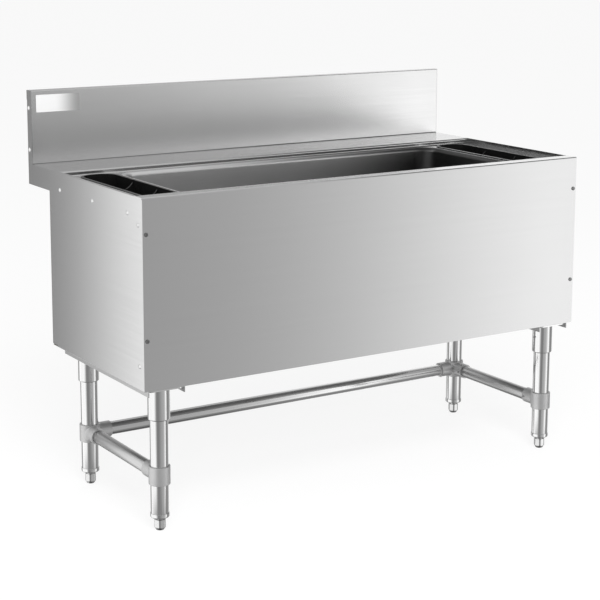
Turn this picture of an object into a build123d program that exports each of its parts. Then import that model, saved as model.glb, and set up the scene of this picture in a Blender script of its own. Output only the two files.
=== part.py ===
from build123d import *
import os

# An underbar ice bin: an insulated chest on four legs, with a backsplash, an ice cavity in the middle and
# a bottle well at each end. Millimetres. X runs along the bin, Y from front to back and Z up from the floor.
# The origin is on the floor, under the middle of the whole bin's box. Each half is made on the left,
# at negative X, and mirrored.

# The bin as a whole
LENGTH = 1219.2
DEPTH = 609.6
RIM_HEIGHT = 762.0
SPLASH_RISE = 177.8
SPLASH_DEPTH = 25.4
CHEST_BOTTOM = 336.0
OVERHANG = 124.6
OVERHANG_DROP = 50.8

# Sheet metal
SHEET = 1.2
FOLD = 2.0
FLANGE = 16.0
SEAM = 0.2

# Apron
APRON_FLANGE = 38.1
APRON_BEND = 2.6

# Side panels
HEM = 5.0
RELIEF_LENGTH = 27.0
RELIEF_HEIGHT = 2.0
CORNER_GAP = 3.0

# Pan under the chest
PAN_FLANGE = 15.0

# Deck
RECESS_DEPTH = 12.7
DECK_DEPTH = 150.2
DECK_BEND = 3.0
DECK_FRONT_LIP = 12.0
DECK_REAR_LIP = 20.0
DECK_SEAM_INSIDE = 6.0
REAR_UPTURN = 33.0

# Backsplash
SPLASH_FOOT = 15.0
SPLASH_RETURN = 20.0
SPLASH_END_GAP = 2.5

# Label plate
LABEL_LENGTH = 113.0
LABEL_HEIGHT = 42.0
LABEL_THICKNESS = 0.6
LABEL_INSET = 12.0
LABEL_DROP = 11.0
LABEL_CORNER = 1.5

# Ice liner, placed from the ends, the front face, the deck's step and the chest's bottom
LINER_END = 155.0
LINER_FRONT = 56.0
LINER_REAR = 15.0
UNDER_LINER = 108.3
LINER_CORNER = 40.0
LINER_COVE = 25.0
LINER_ROLL = 10.0
LINER_RIM = 1.5
LINER_SHEET = 1.2
FLOOR_FALL = 10.0
SUMP_RADIUS = 52.0
SUMP_CORNER = 50.0

# Bottle wells, placed from the ends, the front face and the deck's step
WELL_END = 44.0
WELL_WIDTH = 90.0
WELL_FRONT = 58.0
WELL_REAR = 8.0
WELL_CORNER = 38.0
WELL_CLEARANCE = 1.5
WELL_WALL = 2.5
WELL_RIM = 4.2
WELL_RIM_THICKNESS = 2.0
WELL_DEPTH = 250.0
WELL_FOOT_ROUND = 8.0
WELL_POCKETS = 3

# Dividers and the guides that hold them
DIVIDER_THICKNESS = 3.0
DIVIDER_CLEARANCE = 0.8
DIVIDER_DROP = 4.0
DIVIDER_DIP = 20.0
DIVIDER_CHAMFER = 9.0
GUIDE_WIDTH = 2.5
GUIDE_DEPTH = 3.0
GUIDE_DROP = 14.0

# Inner angles
BRACKET_LEG = 30.0
BRACKET_THICKNESS = 1.5
BRACKET_GAP = 3.0
DECK_ANGLE_LEG = 43.0
DECK_ANGLE_SHELF = 30.0
DECK_ANGLE_START = 45.0
DECK_ANGLE_PAST_STEP = 11.0

# Insulation
FOAM_GAP = 0.3
FOAM_NOTCH = 34.0
FOAM_DRAIN_RADIUS = 50.0
FOAM_TOP_GAP = 4.0

# Drain
DRAIN_FLANGE_RADIUS = 44.0
DRAIN_FLANGE_THICKNESS = 2.0
DRAIN_BODY_RADIUS = 29.0
DRAIN_BODY_WALL = 3.0
DRAIN_BODY_HEIGHT = 42.0
DRAIN_FIT = 0.3
DRAIN_NECK_WALL = 4.0
DRAIN_NECK_HEIGHT = 14.0
STRAINER_SEAT = 2.0
STRAINER_DEPTH = 5.0
STRAINER_THICKNESS = 1.5
STRAINER_CLEARANCE = 0.3
STRAINER_HOLE = 2.2
STRAINER_HOLES = 8
STRAINER_RING = 15.0
KNOB_RADIUS = 4.5
KNOB_HEIGHT = 7.0
KNOB_ROUND = 1.5
GASKET_THICKNESS = 2.5
LOCKNUT_RADIUS = 40.0
LOCKNUT_HEIGHT = 8.0
LOCKNUT_LUGS = 6
LOCKNUT_LUG = 5.0
NIPPLE_RADIUS = 16.7
NIPPLE_WALL = 3.4
NIPPLE_END = 285.0
NIPPLE_SPIGOT = 45.0
NIPPLE_SHOULDER = 1.5
NIPPLE_ENGAGEMENT = 11.0
PAN_HOLE_GAP = 5.0

# Leg channels under the pan
CHANNEL_WIDTH = 90.0
CHANNEL_HEIGHT = 15.0
CHANNEL_SHEET = 2.0
CHANNEL_FOLD = 1.0
CHANNEL_FRONT = 5.0
CHANNEL_BACK = 42.0

# Legs and sockets
LEG_INSET = 57.0
FRONT_LEG = 45.0
REAR_LEG = 76.3
LEG_RADIUS = 20.65
LEG_WALL = 1.5
LEG_TOP_GAP = 12.0
SOCKET_RADIUS = 25.0
SOCKET_HEIGHT = 78.0
SOCKET_ROUND = 2.5
SOCKET_FIT = 0.2
SOCKET_PLATE = 80.0
SOCKET_PLATE_THICKNESS = 3.0
SOCKET_PLATE_ROUND = 6.0
SOCKET_SCREW_RISE = 41.0

# Rails and their collars
RAIL_HEIGHT = 128.0
RAIL_RADIUS = 15.9
RAIL_WALL = 1.5
RAIL_END_GAP = 4.0
COLLAR_RADIUS = 24.5
COLLAR_HEIGHT = 42.0
COLLAR_ROUND = 1.2
SLEEVE_RADIUS = 19.2
SLEEVE_REACH = 52.0
SLEEVE_FIT = 0.2
SLEEVE_SCREW_BACK = 7.0

# Leg inserts and levelling feet
FOOT_HEIGHT = 30.0
INSERT_RADIUS = 21.8
INSERT_RING = 10.0
INSERT_ROUND = 3.0
INSERT_PLUG = 18.0
INSERT_FIT = 0.15
STEM_RADIUS = 7.9
STEM_LENGTH = 60.0
STEM_FIT = 0.05
FOOT_ACROSS = 25.0
FOOT_NECK = 10.5
FOOT_NECK_HEIGHT = 4.0
FOOT_TIP_RADIUS = 9.0
FOOT_TIP_HEIGHT = 7.0
FOOT_BODY_RADIUS = 13.4
FOOT_SHOULDER = 2.0
HEX_SIDE_COUNT = 6

# Screws. Rises are from the edge below, drops from the edge above, setbacks from the front or the back face.
FRONT_SCREW_INSET = 8.8
FRONT_SCREW_RISE = 112.5
FRONT_SCREW_DROP = 79.5
PAN_HEAD_RADIUS = 4.7
PAN_HEAD_RISE = 2.2
PAN_HEAD_ROUND = 1.2
SHANK_RADIUS = 2.4
SHANK_LENGTH = 9.0
SHANK_FIT = 0.1
RECESS_WIDTH = 1.2
RECESS_LENGTH = 5.4
RECESS_SINK = 1.1
DOME_RADIUS = 5.6
DOME_RISE = 2.4
SIDE_SCREW_FIRST = 70.8
SIDE_SCREW_PITCH = 177.4
SIDE_SCREW_COUNT = 3
SIDE_SCREW_DROP = 41.5
EDGE_SCREW_SETBACK = 21.0
EDGE_SCREW_RISE = 53.4
EDGE_SCREW_DROP = 61.0
SPLASH_SCREW_SETBACK = 10.2
SPLASH_SCREW_RISE = 33.5
SPLASH_SCREW_DROP = 42.8
GRUB_RADIUS = 3.0
GRUB_RISE = 2.0
GRUB_KEY = 3.0
GRUB_KEY_SINK = 1.6
GRUB_FIT = 0.1

# Overrun of a cut past the face that it leaves
OVER = 5.0

# Places worked out from the sizes
END = LENGTH / 2
FRONT = -(DEPTH - PAN_HEAD_RISE) / 2
BACK = FRONT + DEPTH
CHEST_BACK = FRONT + (DEPTH - OVERHANG)
SPLASH_TOP = RIM_HEIGHT + SPLASH_RISE
SPLASH_FACE = BACK - SPLASH_DEPTH
SOFFIT = RIM_HEIGHT - OVERHANG_DROP
LEDGE = RIM_HEIGHT - RECESS_DEPTH
DECK_STEP = SPLASH_FACE - DECK_DEPTH
FRONT_TO_STEP = DEPTH - (SPLASH_DEPTH + DECK_DEPTH)
LINER_BACK = FRONT_TO_STEP - LINER_REAR
WELL_LENGTH = FRONT_TO_STEP - WELL_REAR - WELL_FRONT
HEM_FOOT = RIM_HEIGHT - 2 * FOLD
FLANGE_TOP = RIM_HEIGHT - SHEET - APRON_BEND
BACK_FLANGE_TOP = SPLASH_TOP - SPLASH_RETURN - CORNER_GAP
PAN_TOP = CHEST_BOTTOM + SHEET
INNER = FRONT + 2 * SHEET
LINER_MIDDLE = FRONT + (LINER_FRONT + LINER_BACK) / 2
LINER_FLOOR = CHEST_BOTTOM + UNDER_LINER
SUMP = LINER_FLOOR - FLOOR_FALL
WELL_X = -END + WELL_END + WELL_WIDTH / 2
WELL_Y = FRONT + WELL_FRONT + WELL_LENGTH / 2
WELL_FLOOR = LEDGE - WELL_DEPTH + WELL_WALL
WELL_INSIDE_WIDTH = WELL_WIDTH - 2 * (WELL_CLEARANCE + WELL_WALL)
WELL_INSIDE_LENGTH = WELL_LENGTH - 2 * (WELL_CLEARANCE + WELL_WALL)
WEB_UNDERSIDE = CHEST_BOTTOM - CHANNEL_SHEET
LEG_X = -END + LEG_INSET
LEG_YS = {"front": FRONT + FRONT_LEG, "rear": CHEST_BACK - REAR_LEG}
SOCKET_BOTTOM = WEB_UNDERSIDE - SOCKET_HEIGHT
SOCKET_SCREW_HEIGHT = SOCKET_BOTTOM + SOCKET_SCREW_RISE
LEG_BOTTOM = FOOT_HEIGHT + INSERT_RING
LEG_TOP = WEB_UNDERSIDE - SOCKET_PLATE_THICKNESS - LEG_TOP_GAP
DECK_ANGLE_TOP = LEDGE - SHEET
FOAM_BOTTOM = PAN_TOP + SHEET
FOAM_TOP = DECK_ANGLE_TOP - DECK_ANGLE_LEG - FOAM_TOP_GAP
BRACKET_BOTTOM = CHEST_BOTTOM + PAN_FLANGE + BRACKET_GAP
BRACKET_TOP = LEDGE - DECK_FRONT_LIP - BRACKET_GAP
DRAIN_BORE = DRAIN_BODY_RADIUS + DRAIN_FIT
NIPPLE_HUB = NIPPLE_RADIUS + NIPPLE_SHOULDER
DRAIN_FLOOR = SUMP - DRAIN_BODY_HEIGHT
FRONT_SCREW_HEIGHTS = (CHEST_BOTTOM + FRONT_SCREW_RISE, RIM_HEIGHT - FRONT_SCREW_DROP)
EDGE_SCREW_HEIGHTS = (CHEST_BOTTOM + EDGE_SCREW_RISE, RIM_HEIGHT - EDGE_SCREW_DROP)
SPLASH_SCREW_HEIGHTS = (RIM_HEIGHT + SPLASH_SCREW_RISE, SPLASH_TOP - SPLASH_SCREW_DROP)
SIDE_SCREW_YS = [FRONT + SIDE_SCREW_FIRST + SIDE_SCREW_PITCH * turn for turn in range(SIDE_SCREW_COUNT)]

UP = (Align.CENTER, Align.CENTER, Align.MIN)
DOWN = (Align.CENTER, Align.CENTER, Align.MAX)


def block(low, high):
    """A box from its lowest corner to its highest."""
    size = [top - bottom for bottom, top in zip(low, high)]
    middle = [(top + bottom) / 2 for bottom, top in zip(low, high)]
    return Pos(*middle) * Box(*size)


def both_ends(piece):
    """A shape and its mirror image at the other end of the bin."""
    return piece, mirror(piece, about=Plane.YZ)


def offset_line(points, distance):
    """The same polyline moved to the left of its own direction, with mitred corners."""
    runs = [(Vector(*end) - Vector(*start)).normalized() for start, end in zip(points, points[1:])]
    normals = [Vector(-run.Y, run.X) for run in runs]
    moved = [Vector(*points[0]) + normals[0] * distance]
    for point, before, after in zip(points[1:-1], normals, normals[1:]):
        bisector = (before + after).normalized()
        moved.append(Vector(*point) + bisector * (distance / bisector.dot(before)))
    moved.append(Vector(*points[-1]) + normals[-1] * distance)
    return [(point.X, point.Y) for point in moved]


def folded_sheet(plane, points, thickness, side, bend, half_span):
    """A folded sheet that reaches as far to both sides of a plane. Its visible face follows the points; the
    metal lies on their left where side is 1 and on their right where it is -1. Each fold has the inside
    radius bend."""
    hidden = offset_line(points, side * thickness)
    visible_radii = []
    hidden_radii = []
    for before, corner, after in zip(points, points[1:], points[2:]):
        into = Vector(*corner) - Vector(*before)
        out = Vector(*after) - Vector(*corner)
        towards_metal = into.cross(out).Z * side > 0
        visible_radii.append(bend + thickness if towards_metal else bend)
        hidden_radii.append(bend if towards_metal else bend + thickness)
    radii = [0] + visible_radii + [0, 0] + hidden_radii[::-1] + [0]
    outline = FilletPolyline(*points, *hidden[::-1], radius=radii, close=True)
    return extrude(plane * make_face(outline), amount=half_span, both=True)


def hollow(radius, bore, bottom, top):
    """An upright tube on the Z axis."""
    tube = Pos(0, 0, bottom) * Cylinder(radius, top - bottom, align=UP)
    return tube - Pos(0, 0, bottom - OVER) * Cylinder(bore, top - bottom + 2 * OVER, align=UP)


def lying(shape, x, y, z, turn):
    """A shape made on the Z axis, laid down and turned so that its top points out at a place."""
    return Pos(x, y, z) * turn * shape


TOWARDS_FRONT = Rot(90, 0, 0)
TOWARDS_BACK = Rot(-90, 0, 0)
TOWARDS_LEFT = Rot(0, -90, 0)
TOWARDS_RIGHT = Rot(0, 90, 0)

# Turns a round shape on its axis, so that the seam of its surface lies clear of what crosses it
SEAM_ASIDE = Rot(0, 0, 100)
COLLAR_SEAM_ASIDE = Rot(0, 0, 140)


def shank_hole():
    """The clearance hole of a sheet screw, through whatever lies behind its head."""
    return Pos(0, 0, OVER) * Cylinder(SHANK_RADIUS + SHANK_FIT, SHANK_LENGTH + 2 * OVER, align=DOWN)


def front_screw_spots():
    return [(-END + FRONT_SCREW_INSET, FRONT, height) for height in FRONT_SCREW_HEIGHTS]


def side_screw_spots():
    spots = [(-END, y, RIM_HEIGHT - SIDE_SCREW_DROP) for y in SIDE_SCREW_YS]
    spots += [(-END, FRONT + EDGE_SCREW_SETBACK, height) for height in EDGE_SCREW_HEIGHTS]
    spots += [(-END, BACK - SPLASH_SCREW_SETBACK, height) for height in SPLASH_SCREW_HEIGHTS]
    return spots


def drill_front(shape):
    for spot in front_screw_spots():
        shape -= lying(shank_hole(), *spot, TOWARDS_FRONT)
    return shape


def drill_side(shape):
    for spot in side_screw_spots():
        shape -= lying(shank_hole(), *spot, TOWARDS_LEFT)
    return shape


def front_panel():
    """The apron, folded back along the rim and down to the ledge of the deck."""
    lip = FRONT + APRON_FLANGE
    path = [(FRONT, CHEST_BOTTOM), (FRONT, RIM_HEIGHT), (lip, RIM_HEIGHT), (lip, LEDGE)]
    panel = folded_sheet(Plane.YZ, path, SHEET, -1, APRON_BEND, END)
    inside = END - HEM - SHEET - SEAM
    lip_end = block((inside, INNER, LEDGE - OVER), (END + OVER, lip + OVER, RIM_HEIGHT - SHEET))
    panel -= lip_end
    panel -= mirror(lip_end, about=Plane.YZ)
    panel = drill_front(panel)
    return mirror(drill_front(mirror(panel, about=Plane.YZ)), about=Plane.YZ)


def side_outline():
    """The outline of a side sheet's flat, chest and splash end in one piece, as points (y, z)."""
    front = FRONT + SHEET
    relief = CHEST_BACK - RELIEF_LENGTH
    rear_foot = PAN_TOP + RELIEF_HEIGHT
    under_apron = FRONT + APRON_FLANGE + SEAM
    front_fold = front + 2 * FOLD
    back_fold = BACK - 2 * FOLD
    return [
        (front_fold, PAN_TOP), (relief, PAN_TOP), (relief, rear_foot), (CHEST_BACK, rear_foot),
        (CHEST_BACK, SOFFIT), (back_fold, SOFFIT), (back_fold, BACK_FLANGE_TOP), (BACK, BACK_FLANGE_TOP),
        (BACK, SPLASH_TOP), (SPLASH_FACE, SPLASH_TOP), (SPLASH_FACE, HEM_FOOT), (under_apron, HEM_FOOT),
        (under_apron, RIM_HEIGHT - SHEET), (front + APRON_BEND, RIM_HEIGHT - SHEET),
        (front + APRON_BEND, FLANGE_TOP), (front_fold, FLANGE_TOP),
    ]


def left_hem():
    """The rim of a side sheet, folded in over the deck's edge."""
    start = FRONT + APRON_FLANGE + SEAM
    path = [(-END, HEM_FOOT), (-END, RIM_HEIGHT), (-END + HEM, RIM_HEIGHT)]
    half = (SPLASH_FACE - start) / 2
    return folded_sheet(Plane.XZ.offset(-start - half), path, SHEET, -1, FOLD - SHEET, half)


def upright_fold(path, thickness, bottom, top):
    """A sheet folded along an upright edge, through the points (x, y), with the metal on their left."""
    half = (top - bottom) / 2
    return folded_sheet(Plane.XY.offset(bottom + half), path, thickness, 1, FOLD - SHEET, half)


def left_side_panel():
    """One sheet with flanges turned in at its front, rim, foot, chest back and bin back."""
    outline = Polyline(*side_outline(), close=True)
    sheet = extrude(Plane.YZ.offset(-END) * make_face(outline), amount=SHEET)
    front = FRONT + SHEET
    inner = -END + FLANGE
    sheet += left_hem()
    front_path = [(-END, front + 2 * FOLD), (-END, front), (inner, front)]
    sheet += upright_fold(front_path, SHEET, PAN_TOP, FLANGE_TOP)
    back_path = [(inner, BACK), (-END, BACK), (-END, BACK - 2 * FOLD)]
    sheet += upright_fold(back_path, SHEET, SOFFIT, BACK_FLANGE_TOP)
    relief = CHEST_BACK - RELIEF_LENGTH
    sheet += block((-END, INNER + CORNER_GAP, PAN_TOP), (inner, relief - CORNER_GAP, PAN_TOP + SHEET))
    chest_back = CHEST_BACK - SHEET
    sheet += block((-END, chest_back - SHEET, PAN_TOP + RELIEF_HEIGHT), (inner, chest_back, SOFFIT))
    return drill_front(drill_side(sheet))


def rear_panel():
    """The sheet behind the chest, stepped back under the overhang and up behind the deck."""
    back = BACK - SHEET
    top = SOFFIT + REAR_UPTURN
    path = [(CHEST_BACK, CHEST_BOTTOM), (CHEST_BACK, SOFFIT), (back, SOFFIT), (back, top)]
    return folded_sheet(Plane.YZ, path, SHEET, 1, FOLD - SHEET, END - FOLD - SEAM)


def bottom_pan():
    """The sheet under the chest, with flanges up behind the apron and in front of the rear panel."""
    front = FRONT + SHEET
    back = CHEST_BACK - SHEET
    top = CHEST_BOTTOM + PAN_FLANGE
    path = [(front, top), (front, CHEST_BOTTOM), (back, CHEST_BOTTOM), (back, top)]
    pan = folded_sheet(Plane.YZ, path, SHEET, 1, FOLD - SHEET, END - FLANGE - SEAM)
    pan += block((-END, front + FOLD, CHEST_BOTTOM), (END, back - FOLD, PAN_TOP))
    hole = Cylinder(NIPPLE_HUB + PAN_HOLE_GAP, 2 * OVER)
    return pan - Pos(0, LINER_MIDDLE, CHEST_BOTTOM) * hole


def backsplash():
    """A box folded from one sheet, open at the back, with its ends turned back for the side screws."""
    foot = SPLASH_FACE + SPLASH_FOOT
    path = [
        (foot, RIM_HEIGHT), (SPLASH_FACE, RIM_HEIGHT), (SPLASH_FACE, SPLASH_TOP), (BACK, SPLASH_TOP),
        (BACK, SPLASH_TOP - SPLASH_RETURN),
    ]
    half = END - SHEET - SEAM
    splash = folded_sheet(Plane.YZ, path, SHEET, -1, FOLD - SHEET, half)
    end_low = RIM_HEIGHT + SHEET + SPLASH_END_GAP
    end_high = SPLASH_TOP - SHEET
    end_back = BACK - SHEET - SPLASH_END_GAP
    end = block((-half, SPLASH_FACE + SHEET / 2, end_low), (-half + SHEET, end_back, end_high))
    for piece in both_ends(drill_side(end)):
        splash += piece
    return splash


def rounded_plate(length, width, corner, x, y, bottom, height):
    """A flat plate with rounded corners, centred on a place."""
    return Pos(x, y, bottom) * extrude(RectangleRounded(length, width, corner), amount=height)


def well_cutout():
    """The hole in the deck that a bottle well hangs in."""
    return rounded_plate(WELL_WIDTH, WELL_LENGTH, WELL_CORNER, WELL_X, WELL_Y, LEDGE - OVER, 2 * OVER)


def liner_rim_size(grow):
    """Length, width and corner of the liner's rim, grown all round."""
    out = LINER_ROLL + LINER_RIM + grow
    return LENGTH - 2 * LINER_END + 2 * out, LINER_BACK - LINER_FRONT + 2 * out, LINER_CORNER + out


def whole_deck():
    """The recessed top, raised behind the recess and turned up at its sides."""
    front = INNER + SEAM
    back = BACK - 2 * SHEET
    path = [
        (front, LEDGE - DECK_FRONT_LIP), (front, LEDGE), (DECK_STEP, LEDGE), (DECK_STEP, RIM_HEIGHT),
        (back, RIM_HEIGHT), (back, RIM_HEIGHT - DECK_REAR_LIP),
    ]
    side = END - HEM
    deck = folded_sheet(Plane.YZ, path, SHEET, -1, DECK_BEND, side)
    wall_start = FRONT + APRON_FLANGE + SEAM
    side_wall = block((-side, wall_start, LEDGE - SHEET), (-side + SHEET, DECK_STEP + SHEET, RIM_HEIGHT))
    for wall in both_ends(side_wall):
        deck += wall
    deck -= rounded_plate(*liner_rim_size(SEAM), 0, LINER_MIDDLE, LEDGE - OVER, 2 * OVER)
    for hole in both_ends(well_cutout()):
        deck -= hole
    return deck


def deck_sheets():
    """The top's four sheets, butt welded and ground flush: a shelf at the rear that also closes the back of the
    liner's opening, an end round each bottle well, and a strip at the front."""
    deck = whole_deck()
    low = LEDGE - OVER - DECK_REAR_LIP
    high = RIM_HEIGHT + OVER
    seam = liner_rim_size(SEAM)[0] / 2 - DECK_SEAM_INSIDE
    bend_start = DECK_STEP - DECK_BEND - SHEET
    rear = block((-END, bend_start, low), (END, BACK, high))
    middle_rear = block((-seam, LINER_MIDDLE, low), (seam, BACK, high))
    left_end = deck & block((-END, FRONT, low), (-seam, bend_start, high))
    front = deck & block((-seam, FRONT, low), (seam, LINER_MIDDLE, high))
    return {"rear": deck & (rear + middle_rear), "left_end": left_end, "front": front}


def liner_form(grow):
    """The space inside the liner or, grown by its sheet, its outside: a coved tub over a floor that falls."""
    length = LENGTH - 2 * LINER_END + 2 * grow
    width = LINER_BACK - LINER_FRONT + 2 * grow
    floor = LINER_FLOOR - grow
    tub = rounded_plate(length, width, LINER_CORNER + grow, 0, LINER_MIDDLE, floor, LEDGE - floor)
    tub = fillet(tub.faces().sort_by(Axis.Z)[0].edges(), LINER_COVE + grow)
    flat_length = LENGTH - 2 * (LINER_END + LINER_COVE)
    flat_width = LINER_BACK - LINER_FRONT - 2 * LINER_COVE
    upper = Plane(origin=(0, LINER_MIDDLE, floor)) * RectangleRounded(
        flat_length, flat_width, LINER_CORNER - LINER_COVE)
    lower = Plane(origin=(0, LINER_MIDDLE, floor - FLOOR_FALL)) * RectangleRounded(
        2 * SUMP_RADIUS, 2 * SUMP_RADIUS, SUMP_CORNER)
    return tub + loft([upper, lower], ruled=True)


def mouth_edges(shell, height):
    """The edges at one height round the liner's mouth, inside its rim."""
    reach_x = END - LINER_END + LINER_ROLL / 2
    reach_y = (LINER_BACK - LINER_FRONT + LINER_ROLL) / 2
    found = []
    for edge in shell.edges():
        box = edge.bounding_box()
        level = abs(box.min.Z - height) < SEAM and abs(box.max.Z - height) < SEAM
        within_x = max(abs(box.min.X), abs(box.max.X)) < reach_x
        within_y = max(abs(box.min.Y - LINER_MIDDLE), abs(box.max.Y - LINER_MIDDLE)) < reach_y
        if level and within_x and within_y:
            found.append(edge)
    return found


def ice_bin_liner():
    """The steel tub for the ice, with a rolled rim that meets the deck flush."""
    under = LEDGE - LINER_SHEET
    shell = liner_form(LINER_SHEET)
    shell += rounded_plate(*liner_rim_size(0), 0, LINER_MIDDLE, under, LINER_SHEET)
    shell = fillet(mouth_edges(shell, under), LINER_ROLL - LINER_SHEET)
    shell -= liner_form(0)
    shell = fillet(mouth_edges(shell, LEDGE), LINER_ROLL)
    return shell - Pos(0, LINER_MIDDLE, SUMP) * Cylinder(DRAIN_BORE, 2 * OVER)


def well_form(grow):
    """The space inside a bottle well or, grown, its outside."""
    floor = WELL_FLOOR - grow
    form = rounded_plate(
        WELL_INSIDE_WIDTH + 2 * grow, WELL_INSIDE_LENGTH + 2 * grow,
        WELL_CORNER - WELL_CLEARANCE - WELL_WALL + grow, WELL_X, WELL_Y, floor, LEDGE - floor)
    return fillet(form.faces().sort_by(Axis.Z)[0].edges(), WELL_FOOT_ROUND - WELL_WALL + grow)


def divider_ys():
    pitch = WELL_LENGTH / WELL_POCKETS
    return [WELL_Y - WELL_LENGTH / 2 + pitch * step for step in range(1, WELL_POCKETS)]


def left_bottle_well():
    """A plastic tub hung by its rim, with pairs of guides for the dividers."""
    well = well_form(WELL_WALL)
    rim = WELL_RIM - WELL_CLEARANCE
    rim_size = (WELL_WIDTH + 2 * rim, WELL_LENGTH + 2 * rim, WELL_CORNER + rim)
    well += rounded_plate(*rim_size, WELL_X, WELL_Y, LEDGE, WELL_RIM_THICKNESS)
    well -= well_form(0)
    well -= rounded_plate(
        WELL_INSIDE_WIDTH, WELL_INSIDE_LENGTH, WELL_CORNER - WELL_CLEARANCE - WELL_WALL, WELL_X, WELL_Y,
        LEDGE - OVER, 2 * OVER)
    wall = WELL_X - WELL_INSIDE_WIDTH / 2
    slot = DIVIDER_THICKNESS / 2 + DIVIDER_CLEARANCE
    low = WELL_FLOOR - WELL_WALL / 2
    for divider_y in divider_ys():
        for near in (divider_y - slot - GUIDE_WIDTH, divider_y + slot):
            high = LEDGE - GUIDE_DROP
            guide = block((wall - WELL_WALL / 2, near, low), (wall + GUIDE_DEPTH, near + GUIDE_WIDTH, high))
            guide &= well_form(WELL_WALL)
            well += guide
            well += mirror(guide, about=Plane.YZ.offset(WELL_X))
    return well


def left_divider(divider_y):
    """A plate that stands in its guides, with a dipped top edge."""
    half = WELL_INSIDE_WIDTH / 2 - DIVIDER_CLEARANCE
    foot = half - DIVIDER_CHAMFER
    top = LEDGE - DIVIDER_DROP
    low = WELL_FLOOR
    cut = low + DIVIDER_CHAMFER
    sides = Polyline((half, top), (half, cut), (foot, low), (-foot, low), (-half, cut), (-half, top))
    dip = ThreePointArc((-half, top), (0, top - DIVIDER_DIP), (half, top))
    plate = extrude(make_face(sides + dip), amount=DIVIDER_THICKNESS / 2, both=True)
    return Pos(WELL_X, divider_y, 0) * Rot(90, 0, 0) * plate


def left_corner_bracket():
    """An upright angle inside the front corner, which the front and the edge screws go into."""
    x = -END + SHEET
    path = [(x, INNER + BRACKET_LEG), (x, INNER), (x + BRACKET_LEG, INNER)]
    return drill_front(drill_side(upright_fold(path, BRACKET_THICKNESS, BRACKET_BOTTOM, BRACKET_TOP)))


def left_deck_angle():
    """An angle on the side panel that the deck's ledge rests on."""
    x = -END + SHEET
    start = FRONT + DECK_ANGLE_START
    end = FRONT + FRONT_TO_STEP + DECK_ANGLE_PAST_STEP
    top = DECK_ANGLE_TOP
    angle = block((x, start, top - DECK_ANGLE_LEG), (x + BRACKET_THICKNESS, end, top))
    angle += block((x, start, top - BRACKET_THICKNESS), (x + DECK_ANGLE_SHELF, end, top))
    return drill_side(angle)


def foam_jacket():
    """Insulation that fills the chest round the liner and the wells, cut back at the corner brackets."""
    half = END - SHEET - FOAM_GAP
    back = CHEST_BACK - 2 * SHEET - FOAM_GAP
    foam = block((-half, INNER + FOAM_GAP, FOAM_BOTTOM), (half, back, FOAM_TOP))
    notch = block((-END, FRONT, FOAM_BOTTOM - OVER), (-END + FOAM_NOTCH, FRONT + FOAM_NOTCH, FOAM_TOP + OVER))
    for cut in both_ends(notch):
        foam -= cut
    for cut in both_ends(well_form(WELL_WALL + WELL_CLEARANCE)):
        foam -= cut
    foam -= liner_form(LINER_SHEET + FOAM_GAP)
    drain_space = Cylinder(FOAM_DRAIN_RADIUS, 2 * (LINER_FLOOR - FOAM_BOTTOM))
    return foam - Pos(0, LINER_MIDDLE, FOAM_BOTTOM) * drain_space


def label_plate():
    """A bare plate on the splash."""
    left = -END + SHEET + LABEL_INSET
    high = SPLASH_TOP - LABEL_DROP
    face = Pos(left + LABEL_LENGTH / 2, high - LABEL_HEIGHT / 2) * RectangleRounded(
        LABEL_LENGTH, LABEL_HEIGHT, LABEL_CORNER)
    return extrude(Plane.XZ.offset(-SPLASH_FACE) * face, amount=LABEL_THICKNESS)


def at_drain(shape):
    return Pos(0, LINER_MIDDLE, 0) * shape


def drain_flange():
    """The drain's body: a flange on the floor of the liner, a cup below it and a neck for the nipple."""
    top = SUMP + DRAIN_FLANGE_THICKNESS
    body = Pos(0, 0, SUMP) * Cylinder(DRAIN_FLANGE_RADIUS, DRAIN_FLANGE_THICKNESS, align=UP)
    body = chamfer(body.edges().group_by(Axis.Z)[-1], DRAIN_FLANGE_THICKNESS / 2)
    body += Pos(0, 0, DRAIN_FLOOR) * Cylinder(DRAIN_BODY_RADIUS, DRAIN_BODY_HEIGHT, align=UP)
    neck = NIPPLE_HUB + DRAIN_NECK_WALL
    body += Pos(0, 0, DRAIN_FLOOR) * Cylinder(neck, DRAIN_NECK_HEIGHT, align=DOWN)
    seat = top - STRAINER_DEPTH
    bore = DRAIN_BODY_RADIUS - DRAIN_BODY_WALL
    body -= Pos(0, 0, seat) * Cylinder(bore, STRAINER_DEPTH + OVER, align=UP)
    cup_floor = DRAIN_FLOOR + DRAIN_BODY_WALL
    body -= Pos(0, 0, cup_floor) * Cylinder(bore - STRAINER_SEAT, top - cup_floor, align=UP)
    thread = NIPPLE_HUB + DRAIN_FIT
    return body - Pos(0, 0, DRAIN_FLOOR - DRAIN_NECK_HEIGHT - OVER) * Cylinder(
        thread, DRAIN_NECK_HEIGHT + DRAIN_BODY_WALL + 2 * OVER, align=UP)


def drain_strainer():
    """A perforated disc with a knob, laid on the seat inside the drain's flange."""
    seat = SUMP + DRAIN_FLANGE_THICKNESS - STRAINER_DEPTH
    radius = DRAIN_BODY_RADIUS - DRAIN_BODY_WALL - STRAINER_CLEARANCE
    disc = Pos(0, 0, seat) * Cylinder(radius, STRAINER_THICKNESS, align=UP)
    knob = Pos(0, 0, seat + STRAINER_THICKNESS) * Cylinder(KNOB_RADIUS, KNOB_HEIGHT, align=UP)
    disc += fillet(knob.edges().group_by(Axis.Z)[-1], KNOB_ROUND)
    cut = Cylinder(STRAINER_HOLE, 2 * OVER)
    rings = [(STRAINER_RING - 3 * STRAINER_HOLE, STRAINER_HOLES), (STRAINER_RING, 2 * STRAINER_HOLES)]
    for radius, count in rings:
        for place in PolarLocations(radius, count):
            disc -= Pos(0, 0, seat) * place * cut
    return disc


def drain_gasket():
    top = SUMP - LINER_SHEET
    return hollow(DRAIN_FLANGE_RADIUS, DRAIN_BORE, top - GASKET_THICKNESS, top)


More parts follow.
